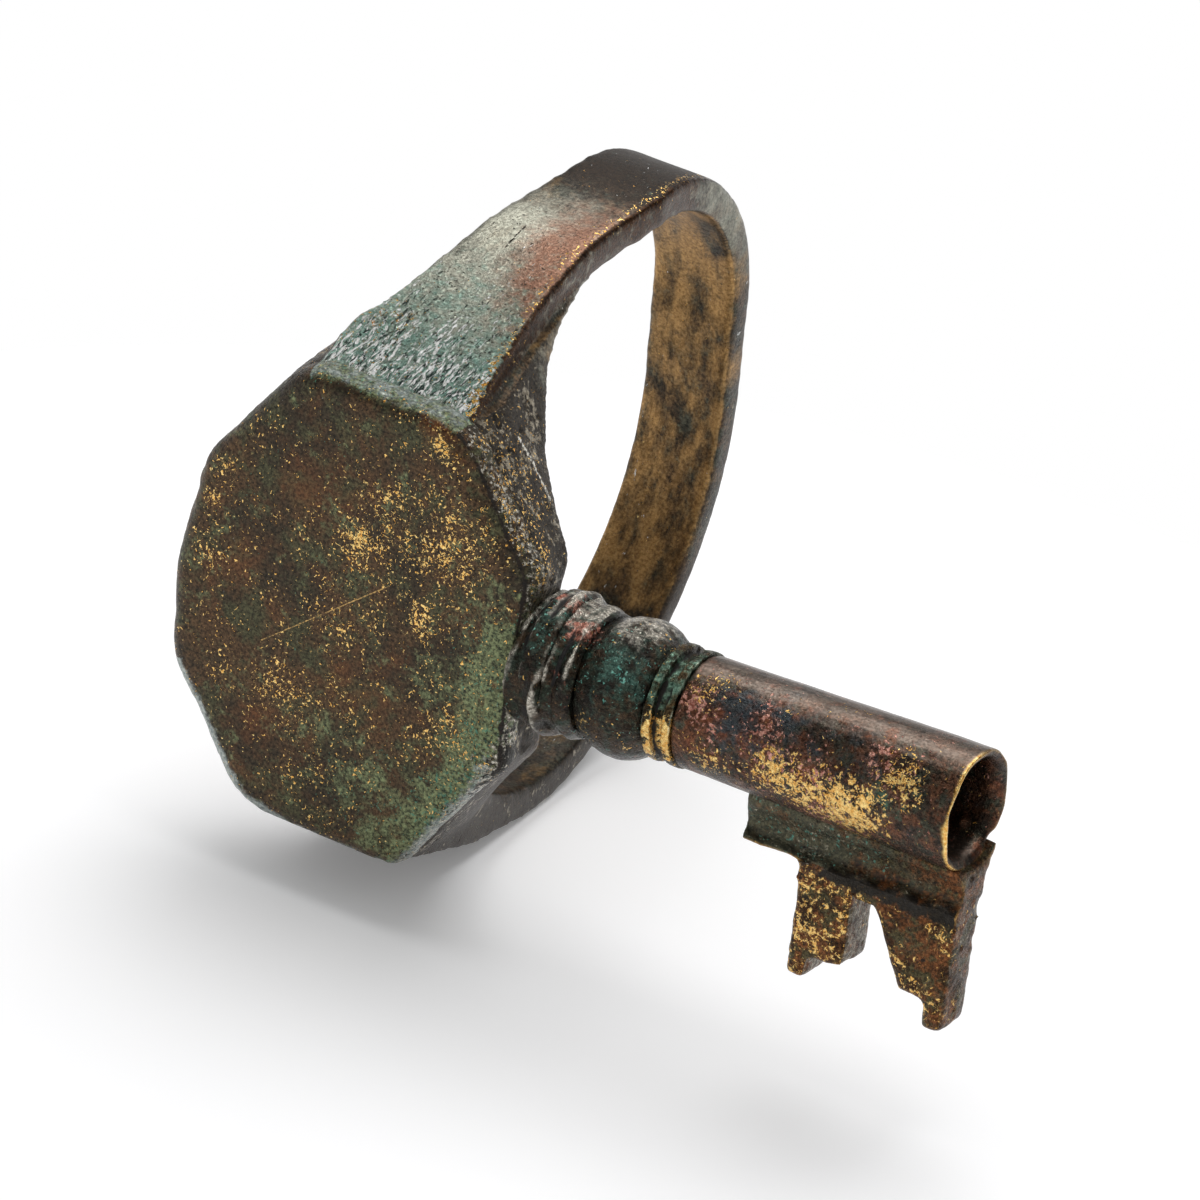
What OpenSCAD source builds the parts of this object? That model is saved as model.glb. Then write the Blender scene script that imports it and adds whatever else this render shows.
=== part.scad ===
// Finger-ring key: a finger hoop with an eight-sided bezel, and a turned shank with a
// hollow barrel and a warded bit standing out of the bezel's side.
// The origin is the middle of the finger hole. X runs along the finger, towards the bit.
// The bezel faces -Y, +Z is up and the bit points down. Millimetres.

/* [Finger hoop] */
// Diameter of the finger hole
finger_hole_d = 16.5; // [15:0.1:20]
// Thickness of the hoop round the finger hole
hoop_wall = 1.05; // [0.8:0.05:1.6]
// How far back the hoop is pulled out of round
stretch_back = 2.45; // [1.6:0.05:2.8]
// How far up the hoop is pulled out of round
stretch_up = 3.3; // [2.4:0.05:3.6]
// Radius of the rounding inside the pulled-out corner
stretch_r = 5.35; // [5:0.05:5.8]
// Width of the hoop where the shoulders end
band_w = 2.8; // [2.2:0.1:4]
// Width of the hoop at its back
back_w = 2.5; // [2:0.1:3.6]
// Length of the upper shoulder's curved flare on the bit side
flare_len = 8.2; // [6:0.1:10]
// Length of the shoulders' straight taper
taper_len = 12.8; // [10:0.1:15]

/* [Bezel] */
// Width of the bezel across its upright sides
bezel_w = 10.8; // [9:0.1:13]
// Height of the bezel
bezel_h = 13.5; // [11.5:0.1:16]
// Length of the bezel's top and bottom edges, which is the shoulders' width too
bezel_top_edge = 5.2; // [4.4:0.1:6.4]
// Length of the bezel's upright edges
bezel_side_edge = 5.9; // [4.8:0.1:7]
// How far the bezel's upright side away from the bit bulges out
bezel_bulge = 0.5; // [0.2:0.05:0.8]
// Thickness of the bezel plate
bezel_t = 0.9; // [0.6:0.05:1.2]
// Thickness of the head between the plate and the finger hole
head_web = 1.15; // [0.9:0.05:2]
// Depth of the head's flat flank behind the plate, before its bevel
flank_depth = 1.5; // [1:0.1:2.5]
// How much the bevel has narrowed the head at its middle corners
flank_bevel = 1.1; // [0.6:0.05:1.6]
// How much taller the head grows along the shoulders
flank_rise = 3.3; // [2.6:0.1:3.6]
// Length of the bevel, which runs out inside the finger hole
bevel_len = 6.2; // [5.6:0.1:6.6]
// How far the bezel's middle lies below the finger hole's middle
bezel_drop = 0.2; // [0:0.05:0.6]

/* [Shank] */
// Depth of the shank's axis behind the bezel's face
shank_depth = 1.65; // [1.4:0.05:2]
// Height of the shank's axis above the bezel's middle
shank_lift = 0.25; // [0:0.05:0.8]
// Angle by which the shank leans up from the finger's direction
shank_rise = 2.2; // [0:0.1:4]
// Diameter of the foot against the bezel's flank
foot_d = 3.8; // [3:0.05:4.2]
// Thickness of the foot
foot_len = 0.5; // [0.3:0.05:0.8]
// Diameter of the collar next to the foot
inner_collar_d = 4.15; // [3:0.05:4.6]
// Thickness of the collar next to the foot
inner_collar_len = 0.5; // [0.3:0.05:0.9]
// Diameter of the collar next to the ball
outer_collar_d = 3.8; // [3:0.05:4.4]
// Thickness of the collar next to the ball
outer_collar_len = 0.9; // [0.3:0.05:1.2]
// Depth of the bevel on both collars' rims
collar_bevel = 0.1; // [0.05:0.01:0.13]
// Diameter of the ball
ball_d = 4.1; // [3.6:0.05:4.8]
// Length of the ball along the shank
ball_len = 2.3; // [1.9:0.05:2.8]
// Diameter of the ball's flat ends
ball_end_d = 2.9; // [2.4:0.05:3.2]
// Diameter of the barrel collar's two lips
lip_d = 3.4; // [3.1:0.05:4]
// Length of the barrel collar
lip_collar_len = 0.9; // [0.8:0.05:1.6]
// Width of the groove between the lips
groove_w = 0.35; // [0.25:0.05:0.6]
// Depth of the groove between the lips
groove_depth = 0.25; // [0.1:0.05:0.4]
// Diameter of the spindle that carries the neck pieces
spindle_d = 1.6; // [1.2:0.05:2]
// Gap for solder round the spindle and under the barrel
solder_gap = 0.02; // [0.01:0.005:0.05]

/* [Barrel] */
// Length of the barrel
barrel_len = 8.8; // [8:0.1:12]
// Diameter of the barrel where it meets its collar
barrel_back_d = 3.26; // [3.1:0.02:3.8]
// Diameter of the barrel at its mouth
barrel_mouth_d = 3.56; // [3.4:0.02:4.2]
// Diameter of the bore for the lock's pin
bore_d = 2.8; // [2.2:0.05:2.9]
// Depth of the bevel inside the mouth
mouth_bevel = 0.13; // [0.05:0.01:0.2]
// Depth of the barrel's socket for the spindle
socket_depth = 1.4; // [0.8:0.1:2]
// Thickness of the floor between the socket and the bore
bore_floor = 0.9; // [0.5:0.1:1.5]

/* [Bit] */
// How far the bit stands out past the barrel's mouth
bit_overhang = 0.2; // [0.1:0.05:0.8]
// Depth from the barrel's axis to the saddle's lower edge
saddle_drop = 2.9; // [2.5:0.05:3.4]
// Reach of the saddle in front of the barrel's axis
saddle_front = 0.95; // [0.8:0.05:1.2]
// Reach of the saddle behind the barrel's axis
saddle_rear = 1.45; // [1:0.05:1.5]
// Radius of the hollow along both sides of the saddle
cove_r = 1.1; // [0.8:0.05:1.6]
// Depth of the hollow along both sides of the saddle
cove_depth = 0.2; // [0.1:0.02:0.3]
// Thickness of the rib and the wards
blade_t = 1.5; // [1.2:0.05:1.8]
// Height of the rib under the saddle
rib_h = 0.55; // [0.3:0.05:0.9]
// Length of the saddle behind the rear ward
saddle_tail = 1.85; // [1:0.05:2.4]
// Width of the rear ward
rear_ward_w = 1.8; // [1.2:0.05:2.4]
// Length of the rear ward below the rib
rear_ward_len = 2.25; // [1.6:0.05:3]
// Width of the rear ward's prong
rear_prong_w = 0.65; // [0.4:0.05:1]
// Length of the rear ward's prong
rear_prong_len = 0.7; // [0.3:0.05:1]
// Gap between the wards, at the rib
ward_gap = 0.6; // [0.3:0.05:1]
// Width of the front ward, at the rib
front_ward_w = 2.6; // [2.2:0.05:3.2]
// How far the front ward's rear edge slants forward
front_ward_slant = 1.05; // [0.6:0.05:1.2]
// Length of the front ward below the rib
front_ward_len = 2.25; // [1.6:0.05:3]
// Width of the front ward's prong
front_prong_w = 0.7; // [0.4:0.05:0.9]
// Length of the front ward's prong
front_prong_len = 0.85; // [0.4:0.05:1.2]

/* [Hidden] */
$fn = 96;

hole_r = finger_hole_d / 2;
hoop_r = hole_r + hoop_wall;
corner_r = stretch_r + hoop_wall;
stretch = [stretch_back, stretch_up];
face_y = -(hole_r + head_web + bezel_t);
seat_y = face_y + bezel_t;
flank_x = bezel_w / 2;
// A length that reaches past the whole key, for cuts and extrusions
past_all = 4 * hoop_r;
// Share of the flank bevel's length at which its middle corners lie
mid_share = 0.4;
// Angle between the points of the hoop's outline
arc_step = 4;
// Small overlap where two shapes of one piece are joined
weld = 0.01;

// Places along the shank, counted from the bezel's flank
inner_collar_at = foot_len;
outer_collar_at = inner_collar_at + inner_collar_len;
ball_at = outer_collar_at + outer_collar_len;
lip_collar_at = ball_at + ball_len;
barrel_at = lip_collar_at + lip_collar_len;
mouth_at = barrel_at + barrel_len;
bit_end = mouth_at + bit_overhang;
front_ward_at = bit_end - front_ward_w;
rear_ward_at = front_ward_at - ward_gap - rear_ward_w;
saddle_at = rear_ward_at - saddle_tail;
rib_bottom = saddle_drop + rib_h;

bronze_dark = [0.24, 0.20, 0.13];
bronze_grey = [0.38, 0.36, 0.30];
bronze_brown = [0.32, 0.22, 0.14];
bronze_gold = [0.55, 0.42, 0.18];

function unit(angle) = [cos(angle), sin(angle)];
// Points along an arc, at even steps of about arc_step degrees
function arc(middle, r, from, to) =
    let (steps = ceil(abs(to - from) / arc_step))
    [for (i = [0 : steps]) middle + r * unit(from + (to - from) * i / steps)];
// Direction from a circle's middle to where the line from a point touches it
function touch_angle(middle, r, point, side) =
    let (v = point - middle)
    atan2(v[1], v[0]) - side * acos(r / norm(v));
// The bezel's outline: level top and bottom edges, four slanted edges, an upright side towards
// the bit, and a side away from it that bulges out to a blunt corner
function bezel_outline(w, h, top, side, bulge) = [
    [top / 2, h / 2], [w / 2, side / 2], [w / 2, -side / 2], [top / 2, -h / 2], [-top / 2, -h / 2],
    [-w / 2 - bulge * 0.35, -side * 0.6], [-w / 2 - bulge, -side * 0.1],
    [-w / 2 - bulge * 0.1, side / 2], [-top / 2, h / 2]
];

// Turns an outline in Y and Z into a bar along X, centred on the finger hole
module along_x(length) {
    rotate([90, 0, 90])
    linear_extrude(height = length, center = true)
    children();
}

// Turns an outline in X and Z into a slab that runs back from a depth
module slab(front_y, depth) {
    translate([0, front_y + depth, -bezel_drop])
    rotate([90, 0, 0])
    linear_extrude(height = depth)
    children();
}

// Side view of the hoop: a round back, one pulled-out corner and straight shoulders
module hoop_side() {
    lift = bezel_h / 2;
    top_corner = [seat_y, lift - bezel_drop];
    low_corner = [seat_y, -lift - bezel_drop];
    top_touch = touch_angle([0, 0], hoop_r, top_corner, 1);
    low_touch = touch_angle([0, 0], hoop_r, low_corner, -1);
    pull = atan2(stretch_up, stretch_back);
    spread = acos((hoop_r - corner_r) / norm(stretch));
    polygon(concat(
        [low_corner, top_corner],
        arc([0, 0], hoop_r, top_touch, pull + spread),
        arc(stretch, corner_r, pull + spread, pull - spread),
        arc([0, 0], hoop_r, pull - spread, low_touch)
    ));
}

// Top view of the hoop: a straight taper on both sides
module hoop_plan() {
    half_head = bezel_top_edge / 2;
    half_band = band_w / 2;
    half_back = back_w / 2;
    taper_y = seat_y + taper_len;
    back_y = stretch_back + corner_r + hoop_wall;
    polygon([
        [-half_head, seat_y], [half_head, seat_y], [half_band, taper_y],
        [half_back, back_y], [-half_back, back_y], [-half_band, taper_y]
    ]);
}

// The hollow that flares the upper shoulder on the bit side
module shoulder_flare() {
    rise = (bezel_top_edge - band_w) / 2;
    flare_r = (flare_len * flare_len + rise * rise) / (2 * rise);
    translate([band_w / 2 + flare_r, seat_y + flare_len, 0]) cylinder(r = flare_r, h = past_all, $fn = 360);
}

module finger_hole() {
    // The round hole, the pulled-out corner and one circle half way between them
    for (k = [0, 0.5, 1])
        along_x(past_all) translate(k * stretch) circle(r = hole_r + k * (stretch_r - hole_r));
}

// The block behind the bezel plate. Its flanks draw in and up along the shoulders, and run
// out in the finger hole.
module head_block() {
    sides = 9;
    run_out = flank_depth + bevel_len;
    half_way = flank_depth + bevel_len * mid_share;
    mid_top_edge = (bezel_top_edge + band_w) / 2;
    // Each ring of corners: depth behind the plate, width, height, top edge and bulge
    rings = [
        [0, bezel_w, bezel_h, bezel_top_edge, bezel_bulge],
        [flank_depth, bezel_w, bezel_h, bezel_top_edge, bezel_bulge],
        [half_way, bezel_w - flank_bevel, bezel_h + flank_rise * mid_share, mid_top_edge, bezel_bulge / 2],
        [run_out, bezel_w - flank_bevel / mid_share, bezel_h + flank_rise, band_w, bezel_bulge / 4]
    ];
    corners = [
        for (ring = rings, p = bezel_outline(ring[1], ring[2], ring[3], bezel_side_edge, ring[4]))
        [p[0], seat_y + ring[0], p[1] - bezel_drop]
    ];
    last = sides * (len(rings) - 1);
    front = [for (k = [0 : sides - 1]) k];
    back = [for (k = [sides - 1 : -1 : 0]) last + k];
    flanks = [
        for (r = [0 : sides : last - sides], k = [0 : sides - 1], half = [0, 1])
        let (next = (k + 1) % sides)
        half == 0 ? [r + k, r + sides + k, r + sides + next] : [r + k, r + sides + next, r + next]
    ];
    polyhedron(corners, concat([front, back], flanks));
}

module hoop() {
    color(bronze_grey)
    difference() {
        union() {
            difference() {
                intersection() {
                    along_x(past_all) hoop_side();
                    linear_extrude(height = past_all, center = true) hoop_plan();
                }
                shoulder_flare();
            }
            head_block();
        }
        finger_hole();
    }
}

module bezel_plate() {
    color(bronze_dark)
    slab(face_y, bezel_t)
    polygon(bezel_outline(bezel_w, bezel_h, bezel_top_edge, bezel_side_edge, bezel_bulge));
}

// Places children on the shank: X along its axis, counted from the bezel's flank
module on_shank(along = 0) {
    translate([flank_x, face_y + shank_depth, shank_lift - bezel_drop])
    rotate([0, -shank_rise, 0])
    translate([along, 0, 0])
    children();
}

// Turns an outline of radius and length round the shank's axis
module turned() {
    rotate([0, 90, 0]) rotate_extrude() children();
}

// Cuts children off at the bezel's flank, because the shank leans
module clear_of_flank() {
    difference() {
        children();
        translate([flank_x - past_all, -past_all, -past_all]) cube([past_all, 2 * past_all, 2 * past_all]);
    }
}

// A bevelled ring that threads onto the spindle
module ring(d, length, bevel) {
    in_r = spindle_d / 2 + solder_gap;
    turned()
    polygon([
        [in_r, 0], [d / 2 - bevel, 0], [d / 2, bevel],
        [d / 2, length - bevel], [d / 2 - bevel, length], [in_r, length]
    ]);
}

module shank_foot() {
    // The foot starts inside the flank and is then cut flush with it
    lean = foot_d * tan(shank_rise);
    in_r = spindle_d / 2 + solder_gap;
    color(bronze_dark)
    clear_of_flank()
    on_shank(-lean)
    turned()
    polygon([[in_r, 0], [foot_d / 2, 0], [foot_d / 2, lean + foot_len], [in_r, lean + foot_len]]);
}

module inner_collar() {
    color(bronze_dark) on_shank(inner_collar_at) ring(inner_collar_d, inner_collar_len, collar_bevel);
}

module outer_collar() {
    color(bronze_brown) on_shank(outer_collar_at) ring(outer_collar_d, outer_collar_len, collar_bevel);
}

module ball_knop() {
    in_r = spindle_d / 2 + solder_gap;
    half = ball_len / 2;
    drop = (ball_d - ball_end_d) / 2;
    // The bulge is an arc through both flat ends' edges
    bulge_r = (half * half + drop * drop) / (2 * drop);
    color(bronze_dark)
    on_shank(ball_at)
    turned()
    intersection() {
        translate([in_r, 0]) square([ball_d, ball_len]);
        union() {
            translate([ball_d / 2 - bulge_r, half]) circle(r = bulge_r);
            square([ball_end_d / 2, ball_len]);
        }
    }
}

module barrel_collar() {
    in_r = spindle_d / 2 + solder_gap;
    lip = lip_d / 2;
    floor_r = lip - groove_depth;
    groove_at = (lip_collar_len - groove_w) / 2;
    color(bronze_gold)
    on_shank(lip_collar_at)
    turned()
    polygon([
        [in_r, 0], [lip, 0], [lip, groove_at], [floor_r, groove_at],
        [floor_r, groove_at + groove_w], [lip, groove_at + groove_w],
        [lip, lip_collar_len], [in_r, lip_collar_len]
    ]);
}

module spindle() {
    // Stops short of the barrel socket's floor
    length = barrel_at + socket_depth - solder_gap;
    lean = foot_d * tan(shank_rise);
    color(bronze_brown)
    clear_of_flank()
    on_shank(-lean)
    rotate([0, 90, 0]) cylinder(d = spindle_d, h = length + lean);
}

module barrel() {
    socket_r = spindle_d / 2 + solder_gap;
    bore_r = bore_d / 2;
    bore_bottom = socket_depth + bore_floor;
    color(bronze_brown)
    on_shank(barrel_at)
    turned()
    polygon([
        [socket_r, 0], [barrel_back_d / 2, 0], [barrel_mouth_d / 2, barrel_len],
        [bore_r + mouth_bevel, barrel_len], [bore_r, barrel_len - mouth_bevel],
        [bore_r, bore_bottom], [0, bore_bottom], [0, socket_depth], [socket_r, socket_depth]
    ]);
}

// The barrel's outside with the solder gap, carried on past the mouth at the same taper
module barrel_seat() {
    taper = (barrel_mouth_d - barrel_back_d) / 2 / barrel_len;
    reach = barrel_len + 2 * bit_overhang;
    back_r = barrel_back_d / 2 + solder_gap;
    on_shank(barrel_at)
    rotate([0, 90, 0]) cylinder(r1 = back_r, r2 = back_r + taper * reach, h = reach);
}

// Turns an outline in Y and Z into a bar along the shank
module shank_bar(from, to) {
    on_shank(from) rotate([90, 0, 90]) linear_extrude(height = to - from) children();
}

// End view of the saddle: two hollowed sides between the barrel and the blade
module saddle_section() {
    half_blade = blade_t / 2;
    heel = -saddle_rear / 2;
    cove_z = -(saddle_drop + barrel_mouth_d / 2) / 2 - cove_depth / 2;
    difference() {
        polygon([
            [-saddle_front, 0], [-half_blade, -saddle_drop],
            [half_blade, -saddle_drop], [saddle_rear, heel], [saddle_rear, 0]
        ]);
        translate([-half_blade - cove_r + cove_depth, cove_z]) circle(r = cove_r);
        translate([half_blade + cove_r, cove_z]) circle(r = cove_r);
    }
}

module bit_saddle() {
    color(bronze_dark)
    difference() {
        union() {
            shank_bar(saddle_at, bit_end) saddle_section();
            shank_bar(rear_ward_at, bit_end)
            translate([-blade_t / 2, -rib_bottom]) square([blade_t, rib_h + weld]);
        }
        barrel_seat();
    }
}

// Turns an outline in X and Z into a blade in the shank's middle plane
module blade() {
    on_shank()
    rotate([90, 0, 0])
    linear_extrude(height = blade_t, center = true)
    children();
}

module rear_ward() {
    low = -rib_bottom - rear_ward_len;
    right = rear_ward_at + rear_ward_w;
    color(bronze_brown)
    blade()
    polygon([
        [rear_ward_at, -rib_bottom], [rear_ward_at, low - rear_prong_len],
        [rear_ward_at + rear_prong_w, low - rear_prong_len], [rear_ward_at + rear_prong_w, low],
        [right, low], [right, -rib_bottom]
    ]);
}

module front_ward() {
    low = -rib_bottom - front_ward_len;
    color(bronze_brown)
    blade()
    polygon([
        [front_ward_at, -rib_bottom], [front_ward_at + front_ward_slant, low],
        [bit_end - front_prong_w, low], [bit_end - front_prong_w, low - front_prong_len],
        [bit_end, low - front_prong_len], [bit_end, -rib_bottom]
    ]);
}

hoop();
bezel_plate();
shank_foot();
inner_collar();
outer_collar();
ball_knop();
barrel_collar();
spindle();
barrel();
bit_saddle();
rear_ward();
front_ward();
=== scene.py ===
"""A worn bronze finger-ring key, with its patina and gilding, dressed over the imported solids."""
import math

import bmesh
import bpy
import numpy as np
from mathutils import Matrix, Vector


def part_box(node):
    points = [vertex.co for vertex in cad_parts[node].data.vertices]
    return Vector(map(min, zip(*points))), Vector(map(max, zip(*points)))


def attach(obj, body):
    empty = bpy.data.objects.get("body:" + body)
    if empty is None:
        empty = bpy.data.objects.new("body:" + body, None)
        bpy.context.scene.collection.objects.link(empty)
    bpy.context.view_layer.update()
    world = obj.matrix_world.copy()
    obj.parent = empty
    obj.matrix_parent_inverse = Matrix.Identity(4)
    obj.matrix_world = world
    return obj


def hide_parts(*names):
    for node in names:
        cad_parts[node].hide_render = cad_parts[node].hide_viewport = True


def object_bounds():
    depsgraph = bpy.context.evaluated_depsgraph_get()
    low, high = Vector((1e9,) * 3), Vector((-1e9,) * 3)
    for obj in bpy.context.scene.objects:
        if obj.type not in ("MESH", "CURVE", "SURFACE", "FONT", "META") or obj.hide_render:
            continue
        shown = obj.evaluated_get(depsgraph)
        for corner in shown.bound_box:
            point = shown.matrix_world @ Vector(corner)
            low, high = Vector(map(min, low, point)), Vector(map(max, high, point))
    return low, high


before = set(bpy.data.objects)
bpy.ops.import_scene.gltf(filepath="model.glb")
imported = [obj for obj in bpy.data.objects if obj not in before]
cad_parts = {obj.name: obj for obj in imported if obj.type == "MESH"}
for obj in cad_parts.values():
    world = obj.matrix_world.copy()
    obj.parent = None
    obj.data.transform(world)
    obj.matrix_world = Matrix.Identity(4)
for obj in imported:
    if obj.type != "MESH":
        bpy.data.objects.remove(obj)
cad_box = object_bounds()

MM = 0.001
scene = bpy.context.scene


def tone(hex_code):
    """An sRGB hex colour as linear RGBA."""
    shares = [int(hex_code[i:i + 2], 16) / 255 for i in (1, 3, 5)]
    return [s / 12.92 if s <= 0.04045 else ((s + 0.055) / 1.055) ** 2.4 for s in shares] + [1.0]


def add(tree, kind, inputs=None, **settings):
    """Adds a node: settings are its own properties, inputs are constants, or nodes or sockets to link."""
    node = tree.nodes.new(kind)
    for name, value in settings.items():
        setattr(node, name, value)
    for name, value in (inputs or {}).items():
        if isinstance(value, bpy.types.Node):
            value = value.outputs[0]
        if isinstance(value, bpy.types.NodeSocket):
            tree.links.new(value, node.inputs[name])
        else:
            node.inputs[name].default_value = value
    return node


# Camera: a long lens at the front right, and a little turned about its own axis
AIM = Vector((2.46, 0.07, -2.26)) * MM
CAMERA_DISTANCE = 264.5 * MM
CAMERA_AZIMUTH = 26.9
CAMERA_ELEVATION = 25.0
CAMERA_ROLL = 9.66
LENS_MM = 276
SENSOR_MM = 36


def direction(azimuth, elevation):
    """The unit vector towards a place seen at that azimuth from the front, and elevation, in degrees."""
    turn, lift = math.radians(azimuth), math.radians(elevation)
    return Vector((math.sin(turn) * math.cos(lift), -math.cos(turn) * math.cos(lift), math.sin(lift)))


def set_camera():
    lens = bpy.data.cameras.new("camera")
    lens.lens, lens.sensor_width = LENS_MM, SENSOR_MM
    lens.clip_start, lens.clip_end = 10 * MM, 5000 * MM
    camera = bpy.data.objects.new("camera", lens)
    back = direction(CAMERA_AZIMUTH, CAMERA_ELEVATION)
    roll = Matrix.Rotation(math.radians(CAMERA_ROLL), 3, "Z")
    turn = (-back).to_track_quat("-Z", "Y").to_matrix() @ roll
    camera.matrix_world = Matrix.Translation(AIM + back * CAMERA_DISTANCE) @ turn.to_4x4()
    scene.collection.objects.link(camera)
    scene.camera = camera


# Stage: the key stands on the foot of its hoop, with its bit in the air
FLOOR_REACH = 36 * MM
FLOOR_MIDDLE_X = 4 * MM
FLOOR_MIDDLE_Y = -4 * MM
FLOOR_TONE = "#f8f8f9"
FLOOR_GLOW = 0.14


def shown_white(tree):
    """A factor of 1 for the rays that show a plain white ground: camera, glossy and transmission."""
    path = add(tree, "ShaderNodeLightPath").outputs
    seen = add(tree, "ShaderNodeMath", {0: path["Is Camera Ray"], 1: path["Is Glossy Ray"]},
               operation="MAXIMUM").outputs[0]
    return add(tree, "ShaderNodeMath", {0: seen, 1: path["Is Transmission Ray"]},
               operation="MAXIMUM").outputs[0]


def set_floor():
    """A round pale sheet that keeps the shadow; past its rim the world is as white as the sheet."""
    mesh = bpy.data.meshes.new("floor")
    disc = bmesh.new()
    bmesh.ops.create_circle(disc, cap_ends=True, segments=96, radius=FLOOR_REACH)
    disc.transform(Matrix.Translation((FLOOR_MIDDLE_X, FLOOR_MIDDLE_Y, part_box("hoop")[0].z)))
    disc.to_mesh(mesh)
    disc.free()
    floor = bpy.data.objects.new("floor", mesh)
    scene.collection.objects.link(floor)
    paper = bpy.data.materials.new("matt white paper")
    paper.use_nodes = True
    tree = paper.node_tree
    tree.nodes.clear()
    matt = add(tree, "ShaderNodeBsdfDiffuse", {"Color": tone(FLOOR_TONE)})
    lift = add(tree, "ShaderNodeMath", {0: shown_white(tree), 1: FLOOR_GLOW}, operation="MULTIPLY")
    glow = add(tree, "ShaderNodeEmission", {"Strength": lift.outputs[0]})
    both = add(tree, "ShaderNodeAddShader", {0: matt.outputs[0], 1: glow.outputs[0]})
    add(tree, "ShaderNodeOutputMaterial", {"Surface": both.outputs[0]})
    mesh.materials.append(paper)


# Lights: a long soft box over the key and behind it, a wide panel behind, and white paper all round
FILL = 0.4
SKY = 0.18
TOP_SHARE, TOP_DISTANCE, TOP_SIZE = 0.72, 300 * MM, (230 * MM, 350 * MM)
TOP_BACK, TOP_LEFT = 14, -4
REAR_SHARE, REAR_DISTANCE, REAR_SIZE = 0.15, 400 * MM, (300 * MM, 300 * MM)
REAR_AZIMUTH, REAR_ELEVATION = 212, 56


def soft_box(name, towards, distance, size, share):
    """A lamp of that width and depth that gives a white sheet facing it that share of plain white."""
    lamp = bpy.data.lights.new(name, "AREA")
    lamp.shape = "RECTANGLE"
    lamp.size, lamp.size_y = size
    lamp.energy = share * (math.pi * distance) ** 2
    box = bpy.data.objects.new(name, lamp)
    turn = towards.to_track_quat("Z", "Y").to_matrix().to_4x4()
    box.matrix_world = Matrix.Translation(AIM + towards * distance) @ turn
    scene.collection.objects.link(box)


def set_light():
    back, left = math.radians(TOP_BACK), math.radians(TOP_LEFT)
    over = Vector((0, 0, 1)) - direction(CAMERA_AZIMUTH, 0) * math.tan(back)
    over -= direction(CAMERA_AZIMUTH + 90, 0) * math.tan(left)
    soft_box("top soft box", over.normalized(), TOP_DISTANCE, TOP_SIZE, TOP_SHARE)
    soft_box("rear panel", direction(REAR_AZIMUTH, REAR_ELEVATION), REAR_DISTANCE, REAR_SIZE, REAR_SHARE)
    world = bpy.data.worlds.new("white paper and a dim ceiling")
    world.use_nodes = True
    tree = world.node_tree
    tree.nodes.clear()
    towards = add(tree, "ShaderNodeTexCoord").outputs["Generated"]
    rise = add(tree, "ShaderNodeSeparateXYZ", {0: towards}).outputs["Z"]
    paper = add(tree, "ShaderNodeMapRange",
                {"Value": rise, "From Min": -0.05, "From Max": 0.4, "To Min": 1.0, "To Max": SKY},
                interpolation_type="SMOOTHSTEP")
    strength = add(tree, "ShaderNodeMix", {"Factor": shown_white(tree), 2: FILL, 3: paper.outputs[0]},
                   data_type="FLOAT")
    white = add(tree, "ShaderNodeBackground", {"Color": tone("#ffffff"), "Strength": strength.outputs[0]})
    add(tree, "ShaderNodeOutputWorld", {"Surface": white.outputs[0]})
    scene.world = world
    scene.view_settings.view_transform = "Standard"


set_camera()
set_floor()
set_light()


# Finish: a ground of bronze, with thin films laid over it one after another
BUMP_MM = 0.05
FINE_MM = 0.1
GOLD, DEEP_GOLD = "#ffe296", "#dc9c42"


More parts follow.
